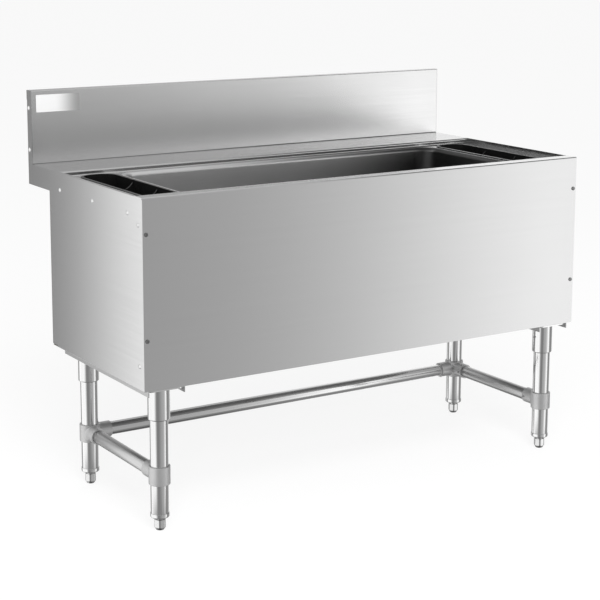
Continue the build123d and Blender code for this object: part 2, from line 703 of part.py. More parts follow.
def drain_locknut():
    """A ring with lugs, screwed up the drain's body against the gasket."""
    top = SUMP - LINER_SHEET - GASKET_THICKNESS
    nut = hollow(LOCKNUT_RADIUS, DRAIN_BORE, top - LOCKNUT_HEIGHT, top)
    for place in PolarLocations(LOCKNUT_RADIUS, LOCKNUT_LUGS):
        lug = Pos(0, 0, top) * place * Box(2 * LOCKNUT_LUG, 2 * LOCKNUT_LUG, LOCKNUT_HEIGHT, align=DOWN)
        nut += lug - Pos(0, 0, top) * Cylinder(LOCKNUT_RADIUS - LOCKNUT_LUG / 2, 2 * LOCKNUT_HEIGHT)
    return nut


def drain_nipple():
    """The pipe stub that a drain line goes on, as far as its shoulder."""
    bore = NIPPLE_RADIUS - NIPPLE_WALL
    shoulder = NIPPLE_END + NIPPLE_SPIGOT
    top = DRAIN_FLOOR - DRAIN_NECK_HEIGHT + NIPPLE_ENGAGEMENT
    return hollow(NIPPLE_RADIUS, bore, NIPPLE_END, shoulder) + hollow(NIPPLE_HUB, bore, shoulder, top)


def left_leg_channel():
    """An inverted channel from front to back, which the two sockets are welded into."""
    low = CHEST_BOTTOM - CHANNEL_HEIGHT
    near = LEG_X - CHANNEL_WIDTH / 2
    far = LEG_X + CHANNEL_WIDTH / 2
    path = [(near, low), (near, CHEST_BOTTOM), (far, CHEST_BOTTOM), (far, low)]
    start = FRONT + CHANNEL_FRONT
    half = (CHEST_BACK - CHANNEL_BACK - start) / 2
    return folded_sheet(Plane.XZ.offset(-start - half), path, CHANNEL_SHEET, -1, CHANNEL_FOLD, half)


def socket_screw_turn(leg_y):
    return Pos(LEG_X, leg_y, SOCKET_SCREW_HEIGHT) * TOWARDS_RIGHT


def left_leg_socket(leg_y):
    """A heavy cup for the leg, flanged at its top under the channel's web."""
    bore = LEG_RADIUS + SOCKET_FIT
    socket = Pos(0, 0, SOCKET_BOTTOM) * Cylinder(SOCKET_RADIUS, SOCKET_HEIGHT, align=UP)
    socket = fillet(socket.edges().group_by(Axis.Z)[0], SOCKET_ROUND)
    socket += rounded_plate(
        SOCKET_PLATE, SOCKET_PLATE, SOCKET_PLATE_ROUND, 0, 0, WEB_UNDERSIDE - SOCKET_PLATE_THICKNESS,
        SOCKET_PLATE_THICKNESS)
    depth = LEG_TOP + LEG_TOP_GAP - SOCKET_BOTTOM
    socket -= Pos(0, 0, SOCKET_BOTTOM) * Cylinder(bore, 2 * depth)
    socket = Pos(LEG_X, leg_y, 0) * socket
    return socket - socket_screw_turn(leg_y) * Cylinder(GRUB_RADIUS + GRUB_FIT, 2 * SOCKET_RADIUS, align=UP)


def left_leg(leg_y):
    return Pos(LEG_X, leg_y, 0) * hollow(LEG_RADIUS, LEG_RADIUS - LEG_WALL, LEG_BOTTOM, LEG_TOP)


def sleeve_turns(row):
    """The ways in which a left collar's sleeves point: back, or forward and inward."""
    return {"front": [TOWARDS_BACK], "rear": [TOWARDS_FRONT, TOWARDS_RIGHT]}[row]


def left_leg_collar(row):
    """A cast collar round the leg with a sleeve for each rail."""
    collar = COLLAR_SEAM_ASIDE * Cylinder(COLLAR_RADIUS, COLLAR_HEIGHT)
    for turn in sleeve_turns(row):
        collar += turn * SEAM_ASIDE * Cylinder(SLEEVE_RADIUS, SLEEVE_REACH, align=UP)
    collar = soften_rims(collar)
    collar -= COLLAR_SEAM_ASIDE * Cylinder(LEG_RADIUS + SOCKET_FIT, 2 * COLLAR_HEIGHT)
    bore = SEAM_ASIDE * Cylinder(RAIL_RADIUS + SLEEVE_FIT, 2 * SLEEVE_REACH, align=UP)
    for turn in sleeve_turns(row):
        collar -= turn * bore
        collar -= turn * sleeve_screw_hole()
    return Pos(LEG_X, LEG_YS[row], RAIL_HEIGHT) * collar


def soften_rims(collar):
    """Rounds the collar's upper and lower rims."""
    circles = collar.edges().filter_by(GeomType.CIRCLE)
    half = COLLAR_HEIGHT / 2
    rims = [edge for edge in circles if abs(abs(edge.center().Z) - half) < SEAM]
    return fillet(rims, COLLAR_ROUND)


def sleeve_screw_hole():
    return sleeve_screw_place() * Cylinder(GRUB_RADIUS + GRUB_FIT, 2 * SLEEVE_RADIUS, align=UP)


def sleeve_screw_place():
    """Across a sleeve that stands on the Z axis, near its mouth, pointing out sideways."""
    return Pos(0, 0, SLEEVE_REACH - SLEEVE_SCREW_BACK) * TOWARDS_RIGHT


def rail(length):
    """A rail made on the Z axis, between two collars."""
    return hollow(RAIL_RADIUS, RAIL_RADIUS - RAIL_WALL, 0, length)


def left_side_rail():
    start = LEG_YS["front"] + LEG_RADIUS + RAIL_END_GAP
    end = LEG_YS["rear"] - LEG_RADIUS - RAIL_END_GAP
    return Pos(LEG_X, start, RAIL_HEIGHT) * TOWARDS_BACK * rail(end - start)


def rear_rail():
    start = LEG_X + LEG_RADIUS + RAIL_END_GAP
    return Pos(start, LEG_YS["rear"], RAIL_HEIGHT) * TOWARDS_RIGHT * rail(-2 * start)


def left_leg_insert(leg_y):
    """A threaded plug in the leg's lower end, with a ring that shows below the tube."""
    ring = Pos(0, 0, FOOT_HEIGHT) * Cylinder(INSERT_RADIUS, INSERT_RING, align=UP)
    ring = fillet(ring.edges().group_by(Axis.Z)[0], INSERT_ROUND)
    plug = LEG_RADIUS - LEG_WALL - INSERT_FIT
    ring += Pos(0, 0, LEG_BOTTOM) * Cylinder(plug, INSERT_PLUG, align=UP)
    bore = STEM_RADIUS + STEM_FIT
    ring -= Pos(0, 0, FOOT_HEIGHT - OVER) * Cylinder(bore, INSERT_RING + INSERT_PLUG + 2 * OVER, align=UP)
    return Pos(LEG_X, leg_y, 0) * ring


def left_foot(leg_y):
    """A levelling foot: a hexagon drawn in to a round tip, a neck and a threaded stem."""
    shoulder = FOOT_HEIGHT - FOOT_NECK_HEIGHT
    profile = Polyline(
        (0, 0), (FOOT_TIP_RADIUS, 0), (FOOT_BODY_RADIUS, FOOT_TIP_HEIGHT),
        (FOOT_BODY_RADIUS, shoulder - FOOT_SHOULDER), (FOOT_NECK, shoulder), (0, shoulder), close=True)
    turned = revolve(Plane.XZ * make_face(profile), axis=Axis.Z)
    hexagon = extrude(RegularPolygon(FOOT_ACROSS / 2, HEX_SIDE_COUNT, major_radius=False), amount=FOOT_HEIGHT)
    foot = turned & hexagon
    foot += Cylinder(FOOT_NECK, FOOT_HEIGHT, align=UP) - Cylinder(FOOT_NECK, shoulder, align=UP)
    foot += Pos(0, 0, shoulder - FOOT_SHOULDER) * Cylinder(STEM_RADIUS, STEM_LENGTH, align=UP)
    return Pos(LEG_X, leg_y, 0) * foot


def pan_screw():
    """A pan head with a crossed recess over its shank, seated on z = 0."""
    head = fillet(
        Cylinder(PAN_HEAD_RADIUS, PAN_HEAD_RISE, align=UP).edges().group_by(Axis.Z)[-1], PAN_HEAD_ROUND)
    for length, width in ((RECESS_LENGTH, RECESS_WIDTH), (RECESS_WIDTH, RECESS_LENGTH)):
        head -= Pos(0, 0, PAN_HEAD_RISE - RECESS_SINK) * Box(length, width, 2 * RECESS_SINK, align=UP)
    return head + Cylinder(SHANK_RADIUS, SHANK_LENGTH, align=DOWN)


def dome_screw():
    """A low domed head, the cap of a sphere, over its shank."""
    ball = (DOME_RADIUS**2 + DOME_RISE**2) / (2 * DOME_RISE)
    cap = Pos(0, 0, DOME_RISE - ball) * Sphere(ball) & Cylinder(DOME_RADIUS, 2 * DOME_RISE, align=UP)
    return cap + Cylinder(SHANK_RADIUS, SHANK_LENGTH, align=DOWN)


def grub_screw(seat, surface):
    """A set screw that points out along Z, from the tube that it bears on to just past the surface."""
    screw = Pos(0, 0, seat) * Cylinder(GRUB_RADIUS, surface + GRUB_RISE - seat, align=UP)
    key = extrude(RegularPolygon(GRUB_KEY / 2, HEX_SIDE_COUNT, major_radius=False), amount=2 * GRUB_KEY_SINK)
    return screw - Pos(0, 0, surface + GRUB_RISE - GRUB_KEY_SINK) * key


def front_panel_screws():
    left = [lying(pan_screw(), *spot, TOWARDS_FRONT) for spot in front_screw_spots()]
    return [screw for piece in left for screw in both_ends(piece)]


def left_side_screws():
    return [lying(dome_screw(), *spot, TOWARDS_LEFT) for spot in side_screw_spots()]


def socket_set_screws():
    left = [socket_screw_turn(leg_y) * grub_screw(LEG_RADIUS, SOCKET_RADIUS) for leg_y in LEG_YS.values()]
    return [screw for piece in left for screw in both_ends(piece)]


def collar_set_screws():
    left = []
    for row, leg_y in LEG_YS.items():
        for turn in sleeve_turns(row):
            place = Pos(LEG_X, leg_y, RAIL_HEIGHT) * turn * sleeve_screw_place()
            left.append(place * grub_screw(RAIL_RADIUS, SLEEVE_RADIUS))
    return [screw for piece in left for screw in both_ends(piece)]


def save(name, shape):
    if isinstance(shape, list):
        shape = Compound(children=shape)
    export_step(shape, f"parts/{name}.step")


def save_pair(name, shape):
    """Writes a left piece and its mirror image, where the name holds a dash for the side."""
    for side, piece in zip(("left", "right"), both_ends(shape)):
        save(name.replace("-", side), piece)


os.makedirs("parts", exist_ok=True)

save("front_panel", front_panel())
save_pair("-_side_panel", left_side_panel())
save("rear_panel", rear_panel())
save("bottom_pan", bottom_pan())
save("backsplash", backsplash())
sheets = deck_sheets()
save("deck_shelf", sheets["rear"])
save("deck_front_strip", sheets["front"])
save_pair("-_deck_end", sheets["left_end"])
save("ice_bin_liner", ice_bin_liner())
save("foam_jacket", foam_jacket())
save("label_plate", label_plate())
save_pair("-_corner_bracket", left_corner_bracket())
save_pair("-_deck_angle", left_deck_angle())

save_pair("-_bottle_well", left_bottle_well())
for place, divider_y in zip(("front", "rear"), divider_ys()):
    save_pair(f"-_{place}_divider", left_divider(divider_y))

save("drain_flange", at_drain(drain_flange()))
save("drain_strainer", at_drain(drain_strainer()))
save("drain_gasket", at_drain(drain_gasket()))
save("drain_locknut", at_drain(drain_locknut()))
save("drain_nipple", at_drain(drain_nipple()))

save_pair("-_leg_channel", left_leg_channel())
for row, leg_y in LEG_YS.items():
    save_pair(f"-_{row}_leg_socket", left_leg_socket(leg_y))
    save_pair(f"-_{row}_leg", left_leg(leg_y))
    save_pair(f"-_{row}_leg_collar", left_leg_collar(row))
    save_pair(f"-_{row}_leg_insert", left_leg_insert(leg_y))
    save_pair(f"-_{row}_foot", left_foot(leg_y))
save_pair("-_side_rail", left_side_rail())
save("rear_rail", rear_rail())

save("front_panel_screws", front_panel_screws())
left_screws = left_side_screws()
save("left_side_screws", left_screws)
save("right_side_screws", [mirror(screw, about=Plane.YZ) for screw in left_screws])
save("socket_set_screws", socket_set_screws())
save("collar_set_screws", collar_set_screws())
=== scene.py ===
import math

import bpy
import numpy as np
from mathutils import Matrix, Vector


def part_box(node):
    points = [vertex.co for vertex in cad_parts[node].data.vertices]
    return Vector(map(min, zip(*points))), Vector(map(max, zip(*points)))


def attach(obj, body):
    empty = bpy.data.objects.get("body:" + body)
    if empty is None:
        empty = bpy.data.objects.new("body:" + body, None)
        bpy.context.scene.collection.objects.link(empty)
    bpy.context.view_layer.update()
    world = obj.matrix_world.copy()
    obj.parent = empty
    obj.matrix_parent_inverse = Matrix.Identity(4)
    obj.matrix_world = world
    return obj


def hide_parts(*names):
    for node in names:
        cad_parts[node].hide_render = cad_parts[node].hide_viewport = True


# An underbar ice bin in brushed stainless steel on a pale floor, in metres.

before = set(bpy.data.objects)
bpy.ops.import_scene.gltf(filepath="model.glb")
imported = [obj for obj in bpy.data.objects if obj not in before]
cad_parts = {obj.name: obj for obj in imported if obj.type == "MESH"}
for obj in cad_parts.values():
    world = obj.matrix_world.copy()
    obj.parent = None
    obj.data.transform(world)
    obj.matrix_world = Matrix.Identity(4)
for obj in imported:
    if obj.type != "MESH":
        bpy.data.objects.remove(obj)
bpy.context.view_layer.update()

# The camera, fitted to the corners of the bin in the picture
CAMERA_PLACE = (-2.1289, -3.3277, 1.3272)
CAMERA_YAW = math.radians(32.35)
CAMERA_PITCH = math.radians(9.92)
CAMERA_ROLL = math.radians(0.20)
SENSOR = 36.0
IMAGE_WIDTH = 600
FOCAL_PIXELS = 1613.8
HORIZON_SHIFT = -0.15

# How finely round shapes are drawn
ROUND_COUNT = 96
CORNER_COUNT = 16
ARC_STEPS = 5
EDGE_STEPS = 2
SHARP_ANGLE = math.radians(28)

# Tubes. Here and below, sizes are the part's own, but for beads, threads, fillets and broken edges.
EDGE_BREAK = 0.0002
LEG_WALL = 0.0015
RAIL_WALL = 0.0015

# Leg sockets
SOCKET_RADIUS = 0.025
SOCKET_ROUND = 0.0035
SOCKET_BEAD = 0.003
SOCKET_PLATE = 0.003
SOCKET_PLATE_CORNER = 0.006
SOCKET_BORE = 0.02085

# Leg inserts
INSERT_RING = 0.010
INSERT_ROUND = 0.003
INSERT_EDGE = 0.0006
INSERT_PLUG = 0.0190
INSERT_BORE = 0.00795

# Levelling feet. Heights are from the floor.
FOOT_ACROSS = 0.025
FOOT_TIP = 0.009
FOOT_TIP_HEIGHT = 0.007
FOOT_TIP_ROUND = 0.0015
FOOT_BODY = 0.0134
FOOT_BODY_ROUND = 0.0015
FOOT_SHOULDER = 0.024
FOOT_NECK = 0.0105
FOOT_NECK_START = 0.026
FOOT_HEIGHT = 0.030
STEM_RADIUS = 0.0079
THREAD_PITCH = 0.002
THREAD_DEPTH = 0.0009
THREAD_STEPS = 6

# Leg collars, their rail sleeves and the cast fillets between them
COLLAR_RADIUS = 0.0245
SLEEVE_RADIUS = 0.0192
FAIRING_LEAST = 0.0006
FAIRING_MOST = 0.0070
FAIRING_SINK = 0.0012

# Brushing: the broad streaks' scale beside the hairs', the clouding's scale per metre, what each adds to the
# tone, and the range of the noise that carries one tone over to the other
BAND_SCALE = 0.13
CLOUD_SCALE = 3.5
HAIR_SHARE = 0.6
STREAK_SHARE = 0.7
BRUSHING_RANGE = (0.35, 0.65)
BRUSHING_BUMP = 0.08
POLISHING_BUMP = 0.10
POLISHING_ANISOTROPY = 0.5
BRUSHING_DEPTH = 0.00001

# Blasted or moulded grain: the clouding's scale per metre, what the grain adds and the range of the noise
GRAIN_CLOUD_SCALE = 14.0
GRAIN_SHARE = 0.6
GRAIN_RANGE = (0.3, 0.7)

# The two finishes that fade along X, the label and the liner, whose fade is painted shade: where the fade
# starts, as a share of the length, and the grey it ends in
LABEL_FADE_SHARE = 0.42
LABEL_END_GREY = 0.34
LINER_PAINTED_SHADE_START = 0.55
LINER_PAINTED_SHADE_GREY = 0.14


def place_camera():
    """A camera that looks along its yaw and pitch, shifted so that uprights lean in only a little."""
    data = bpy.data.cameras.new("camera")
    data.sensor_width = SENSOR
    data.lens = FOCAL_PIXELS / IMAGE_WIDTH * SENSOR
    data.shift_y = HORIZON_SHIFT
    camera = bpy.data.objects.new("camera", data)
    bpy.context.scene.collection.objects.link(camera)
    camera.location = CAMERA_PLACE
    turn = Matrix.Rotation(-CAMERA_YAW, 4, "Z") @ Matrix.Rotation(math.pi / 2 - CAMERA_PITCH, 4, "X")
    camera.rotation_euler = (turn @ Matrix.Rotation(CAMERA_ROLL, 4, "Z")).to_euler()
    bpy.context.scene.camera = camera


class Tree:
    """A node tree that is being built. A socket's value is a number, a vector or another node's output."""

    def __init__(self, tree, empty=True):
        self.tree = tree
        if empty:
            tree.nodes.clear()

    def add(self, kind, inputs=None, **settings):
        node = self.tree.nodes.new(kind)
        for name, value in settings.items():
            setattr(node, name, value)
        for name, value in (inputs or {}).items():
            socket = node.inputs[name]
            if isinstance(value, bpy.types.NodeSocket):
                self.tree.links.new(value, socket)
            else:
                socket.default_value = value
        return node

    def math(self, operation, first, second=0.0):
        return self.add("ShaderNodeMath", {0: first, 1: second}, operation=operation).outputs[0]

    def between(self, value, low, high, to_low, to_high):
        """A value carried smoothly from one range to another and held at the ends."""
        sockets = {"Value": value, "From Min": low, "From Max": high, "To Min": to_low, "To Max": to_high}
        return self.add("ShaderNodeMapRange", sockets, interpolation_type="SMOOTHSTEP").outputs[0]

    def mixed(self, share, first, second):
        """Two colours mixed."""
        return self.add("ShaderNodeMix", {0: share, 6: first, 7: second}, data_type="RGBA").outputs[2]

    def blend(self, share, first, second):
        """Two numbers mixed."""
        return self.add("ShaderNodeMix", {0: share, 2: first, 3: second}).outputs[0]

    def sum_of_shares(self, share, first, second):
        """The first value times the share plus the second times the rest."""
        return self.math("ADD", self.math("MULTIPLY", first, share), self.math("MULTIPLY", second, 1 - share))

    def own_place(self):
        """Where a point lies in the object's own coordinates."""
        return self.add("ShaderNodeTexCoord").outputs["Object"]

    def noise(self, where, scale, detail=3.0, roughness=0.5):
        sockets = {"Vector": where, "Scale": scale, "Detail": detail, "Roughness": roughness}
        return self.add("ShaderNodeTexNoise", sockets).outputs["Fac"]


def new_group(name, inputs, outputs):
    """An empty shader node group with its sockets, as a tree with its input and output nodes."""
    group = bpy.data.node_groups.new(name, "ShaderNodeTree")
    for direction, sockets in (("INPUT", inputs), ("OUTPUT", outputs)):
        for socket, kind in sockets.items():
            group.interface.new_socket(name=socket, in_out=direction, socket_type=f"NodeSocket{kind}")
    tree = Tree(group)
    return group, tree, tree.add("NodeGroupInput").outputs, tree.add("NodeGroupOutput").inputs


def brushed_grain_group():
    """Fine parallel brushing: noise drawn out along one axis at two widths, over broad faint clouding."""
    group, tree, given, out = new_group(
        "brushed grain",
        {"Stretch": "Vector", "Bright": "Color", "Dull": "Color", "Smooth": "Float", "Rough": "Float"},
        {"Color": "Color", "Roughness": "Float", "Height": "Float"})
    where = tree.own_place()
    drawn = tree.add("ShaderNodeVectorMath", {0: where, 1: given["Stretch"]}, operation="MULTIPLY").outputs[0]
    hair = tree.noise(drawn, 1.0, detail=4.0, roughness=0.6)
    band = tree.noise(drawn, BAND_SCALE, detail=2.0)
    cloud = tree.noise(where, CLOUD_SCALE, roughness=0.55)
    streak = tree.sum_of_shares(HAIR_SHARE, hair, band)
    tone = tree.sum_of_shares(STREAK_SHARE, streak, cloud)
    share = tree.between(tone, *BRUSHING_RANGE, 0.0, 1.0)
    colour = tree.mixed(share, given["Dull"], given["Bright"])
    rough = tree.blend(share, given["Rough"], given["Smooth"])
    tree.tree.links.new(colour, out["Color"])
    tree.tree.links.new(rough, out["Roughness"])
    tree.tree.links.new(hair, out["Height"])
    return group


def speckle_group():
    """Blasted or moulded grain: fine round noise over broad clouding."""
    group, tree, given, out = new_group(
        "speckle",
        {"Size": "Float", "Bright": "Color", "Dull": "Color", "Smooth": "Float", "Rough": "Float"},
        {"Color": "Color", "Roughness": "Float", "Height": "Float"})
    where = tree.own_place()
    fine = tree.noise(where, given["Size"], roughness=0.6)
    cloud = tree.noise(where, GRAIN_CLOUD_SCALE, detail=2.0)
    tone = tree.sum_of_shares(GRAIN_SHARE, fine, cloud)
    share = tree.between(tone, *GRAIN_RANGE, 0.0, 1.0)
    colour = tree.mixed(share, given["Dull"], given["Bright"])
    rough = tree.blend(share, given["Rough"], given["Smooth"])
    tree.tree.links.new(colour, out["Color"])
    tree.tree.links.new(rough, out["Roughness"])
    tree.tree.links.new(fine, out["Height"])
    return group


BRUSHED_GRAIN = brushed_grain_group()
SPECKLE = speckle_group()


def grey(value):
    return (value, value, value, 1.0)


def greys(bright, dull):
    return grey(bright), grey(dull)


def finish(name, group, values, tones, gloss, metallic, bump, depth, anisotropy=0.0, drawn=None):
    """A material whose colour, roughness and bump come from a group. Its constants go straight to the shader.
    tones are its bright and its dull colour, gloss its least and its greatest roughness, and drawn is the
    direction in which an anisotropic finish spreads its highlights."""
    material = bpy.data.materials.new(name)
    material.use_nodes = True
    tree = Tree(material.node_tree)
    grain = tree.add("ShaderNodeGroup", node_tree=group)
    grain_values = {"Bright": tones[0], "Dull": tones[1], "Smooth": gloss[0], "Rough": gloss[1], **values}
    for socket, value in grain_values.items():
        grain.inputs[socket].default_value = value
    height = grain.outputs["Height"]
    relief = tree.add("ShaderNodeBump", {"Height": height, "Strength": bump, "Distance": depth})
    shader = tree.add("ShaderNodeBsdfPrincipled", {
        "Base Color": grain.outputs["Color"], "Roughness": grain.outputs["Roughness"],
        "Normal": relief.outputs[0], "Metallic": metallic, "Anisotropic": anisotropy,
    })
    if drawn is not None:
        direction = tree.add("ShaderNodeCombineXYZ", {"X": drawn[0], "Y": drawn[1], "Z": drawn[2]})
        tree.tree.links.new(direction.outputs[0], shader.inputs["Tangent"])
    output = tree.add("ShaderNodeOutputMaterial")
    tree.tree.links.new(shader.outputs[0], output.inputs["Surface"])
    return material


def brushed_steel(name, tones, gloss, stretch, drawn, anisotropy=0.6):
    return finish(name, BRUSHED_GRAIN, {"Stretch": stretch}, [grey(tone) for tone in tones], gloss, 1.0,
                  BRUSHING_BUMP, BRUSHING_DEPTH, anisotropy, drawn)


def polished_tube(name, stretch, drawn, tones=(0.80, 0.74), gloss=(0.10, 0.16)):
    return finish(name, BRUSHED_GRAIN, {"Stretch": stretch}, [grey(tone) for tone in tones], gloss, 1.0,
                  POLISHING_BUMP, BRUSHING_DEPTH, POLISHING_ANISOTROPY, drawn)


def speckled(name, tones, gloss, size, metallic, bump, depth):
    return finish(name, SPECKLE, {"Size": size}, tones, gloss, metallic, bump, depth)


# How far brushing is drawn out, as scales of its noise per metre along each axis
ALONG_X = (6.0, 700.0, 700.0)
ALONG_Y = (700.0, 6.0, 700.0)
ALONG_Z = (700.0, 700.0, 6.0)

# Directions in which highlights spread
LENGTHWISE = (0.0, 1.0, 1.0)
CROSSWISE = (1.0, 0.0, 1.0)
UPRIGHT = (0.0, 0.0, 1.0)
TOWARDS_X = (1.0, 0.0, 0.0)
TOWARDS_Y = (0.0, 1.0, 0.0)

# Sheet and tube: the bright and the dull tone, then the least and the greatest roughness
APRON_STEEL = brushed_steel("apron steel", (0.63, 0.62), (0.15, 0.17), ALONG_X, LENGTHWISE)
SIDE_STEEL = brushed_steel("side steel", (0.63, 0.61), (0.18, 0.22), ALONG_Y, CROSSWISE)
# The splash's tones are raised above the other sheets' to brighten it: painted light
SPLASH_STEEL_PAINTED_LIGHT = brushed_steel("splash steel painted light", (0.75, 0.73), (0.23, 0.26), ALONG_X, LENGTHWISE, 0.8)
DECK_STEEL = brushed_steel("deck steel", (0.61, 0.59), (0.17, 0.21), ALONG_X, LENGTHWISE)
MILL_STEEL = brushed_steel("mill steel", (0.56, 0.50), (0.34, 0.44), ALONG_X, LENGTHWISE, 0.2)
CHANNEL_STEEL = brushed_steel("channel steel", (0.56, 0.50), (0.30, 0.40), ALONG_Y, CROSSWISE, 0.3)
# The liner's tones are raised above the other sheets' to brighten its walls: painted light
TUB_STEEL_PAINTED_LIGHT = brushed_steel("liner steel painted light and shade", (0.74, 0.70), (0.30, 0.36), ALONG_X, LENGTHWISE, 0.5)
LEG_STEEL = polished_tube("leg steel", ALONG_Z, UPRIGHT)
# The side rails take darker tones than the other polished tubes: painted shade
SIDE_RAIL_STEEL_PAINTED_SHADE = polished_tube("side rail steel painted shade", ALONG_Y, TOWARDS_Y, (0.62, 0.54), (0.28, 0.36))
REAR_RAIL_STEEL = polished_tube("rear rail steel", ALONG_X, TOWARDS_X)

# The rest: two tones, two roughnesses, the grain's scale per metre, metallic, then the bump's strength and
# depth
COLLAR_METAL = speckled("collar metal", greys(0.62, 0.54), (0.42, 0.52), 900.0, 0.8, 0.4, 0.0001)
FOOT_METAL = speckled("foot metal", greys(0.74, 0.66), (0.14, 0.24), 500.0, 1.0, 0.1, 0.00003)
SCREW_METAL = speckled("screw metal", greys(0.76, 0.68), (0.16, 0.26), 700.0, 1.0, 0.1, 0.00003)
# The screws in the front panel take darker tones than the other screws: painted shade, standing in for the
# dark surroundings their domes mirror
FRONT_SCREW_METAL_PAINTED_SHADE = speckled("front screw metal painted shade", greys(0.34, 0.26), (0.22, 0.34), 700.0, 1.0, 0.1, 0.00003)
DRAIN_METAL = speckled("drain metal", greys(0.68, 0.60), (0.18, 0.30), 400.0, 1.0, 0.1, 0.00003)
BRASSES = ((0.70, 0.55, 0.28, 1.0), (0.58, 0.44, 0.21, 1.0))
LOCKNUT_BRASS = speckled("locknut brass", BRASSES, (0.30, 0.45), 500.0, 1.0, 0.4, 0.0001)
GASKET_RUBBER = speckled("gasket rubber", greys(0.035, 0.022), (0.65, 0.80), 600.0, 0.0, 0.4, 0.0001)
CREAMS = ((0.86, 0.78, 0.55, 1.0), (0.76, 0.66, 0.42, 1.0))
FOAM = speckled("foam", CREAMS, (0.80, 0.95), 260.0, 0.0, 0.8, 0.0008)
WELL_PLASTIC = speckled("well plastic", greys(0.007, 0.005), (0.24, 0.34), 1500.0, 0.0, 0.25, 0.00005)
LABEL_METAL = speckled("label silver", greys(0.95, 0.92), (0.30, 0.38), 900.0, 0.25, 0.1, 0.00002)


def faded(material, node, start, tone):
    """Carries a material's colour over to a grey tone along X, from a share of a node's length to its end."""
    tree = Tree(material.node_tree, False)
    shader = next(part for part in tree.tree.nodes if part.type == "BSDF_PRINCIPLED")
    low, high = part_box(node)
    along = tree.add("ShaderNodeSeparateXYZ", {0: tree.own_place()}).outputs["X"]
    fade_start = low[0] + start * (high[0] - low[0])
    share = tree.between(along, fade_start, high[0], 0.0, 1.0)
    plain = shader.inputs["Base Color"].links[0].from_socket
    tree.tree.links.new(tree.mixed(share, plain, grey(tone)), shader.inputs["Base Color"])
    return material


# A bare printed plate, white at its left end and silver at its right
LABEL_SILVER = faded(LABEL_METAL, "label_plate", LABEL_FADE_SHARE, LABEL_END_GREY)

# The tub's steel fades to dark grey towards its right end: painted shade of the cavity's right end
LINER_PAINTED_LIGHT_AND_SHADE = faded(TUB_STEEL_PAINTED_LIGHT, "ice_bin_liner", LINER_PAINTED_SHADE_START, LINER_PAINTED_SHADE_GREY)

NODE_FINISH = {
    "front_panel": APRON_STEEL, "left_side_panel": SIDE_STEEL, "right_side_panel": SIDE_STEEL,
    "backsplash": SPLASH_STEEL_PAINTED_LIGHT, "deck_shelf": DECK_STEEL, "deck_front_strip": DECK_STEEL,
    "left_deck_end": DECK_STEEL, "right_deck_end": DECK_STEEL, "rear_panel": MILL_STEEL,
    "bottom_pan": MILL_STEEL, "front_panel_screws": FRONT_SCREW_METAL_PAINTED_SHADE,
    "ice_bin_liner": LINER_PAINTED_LIGHT_AND_SHADE, "foam_jacket": FOAM, "label_plate": LABEL_SILVER,
    "drain_flange": DRAIN_METAL, "drain_strainer": DRAIN_METAL, "drain_nipple": DRAIN_METAL,
    "drain_gasket": GASKET_RUBBER, "drain_locknut": LOCKNUT_BRASS, "rear_rail": REAR_RAIL_STEEL,
}
ENDING_FINISH = {
    "corner_bracket": MILL_STEEL, "deck_angle": MILL_STEEL, "bottle_well": WELL_PLASTIC,
    "divider": WELL_PLASTIC, "leg_channel": CHANNEL_STEEL, "leg_socket": LEG_STEEL, "_leg": LEG_STEEL,
    "leg_collar": COLLAR_METAL, "leg_insert": LEG_STEEL, "foot": FOOT_METAL, "side_rail": SIDE_RAIL_STEEL_PAINTED_SHADE,
    "screws": SCREW_METAL,
}


def node_finish(name):
    if name in NODE_FINISH:
        return NODE_FINISH[name]
    return next(material for ending, material in ENDING_FINISH.items() if name.endswith(ending))


def dress_nodes():
    """Gives every node of the part its finish."""
    for name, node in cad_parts.items():
        for slot in node.material_slots:
            slot.material = node_finish(name)


def circle(theta, radius):
    """The reach of a round section."""
    return np.full_like(theta, radius)


def hexagon(theta, radius):
    """The reach of a round section cut to a hexagon with flats to the front and the back: the lesser of the
    radius and of half the width across flats over the cosine of the angle from the nearest flat."""
    sixth = math.pi / 3
    from_flat = np.mod(theta - math.pi / 2 + sixth / 2, sixth) - sixth / 2
    return np.minimum(radius, FOOT_ACROSS / 2 / np.cos(from_flat))


def rounded_square(theta, half):
    """The reach of a square with rounded corners: the flat's distance over the larger of cosine and sine or,
    past the flat's end, the far crossing with the corner's circle."""
    across, up = np.abs(np.cos(theta)), np.abs(np.sin(theta))
    straight = half - SOCKET_PLATE_CORNER
    flat = half / np.maximum(across, up)
    along = straight * (across + up)
    inside = np.maximum(along**2 - 2 * straight**2 + SOCKET_PLATE_CORNER**2, 0.0)
    corner = along + np.sqrt(inside)
    return np.where(flat * np.minimum(across, up) <= straight, flat, corner)


def filleted(corners, radii, steps=ARC_STEPS):
    """A closed profile (radius, height) whose corners are rounded: each corner becomes an arc that meets
    both of its sides at the tangent length, the radius times the tangent of half the turn. Corners without
    a radius stay sharp."""
    corners = np.array(corners, float)
    points = []
    for index, corner in enumerate(corners):
        radius = radii[index] if index < len(radii) else 0.0
        if radius == 0.0:
            points.append(corner[None])
            continue
        back = corners[index - 1] - corner
        onward = corners[(index + 1) % len(corners)] - corner
        back, onward = back / np.linalg.norm(back), onward / np.linalg.norm(onward)
        half = math.acos(np.clip(back @ onward, -1, 1)) / 2
        middle = (back + onward) / np.linalg.norm(back + onward)
        centre = corner + middle * radius / math.sin(half)
        first = corner + back * radius / math.tan(half) - centre
        last = corner + onward * radius / math.tan(half) - centre
        turn = math.pi - 2 * half
        share = np.linspace(0, 1, steps + 1)[:, None]
        arc = (np.sin((1 - share) * turn) * first + np.sin(share * turn) * last) / math.sin(turn)
        points.append(centre + arc)
    return np.concatenate(points)


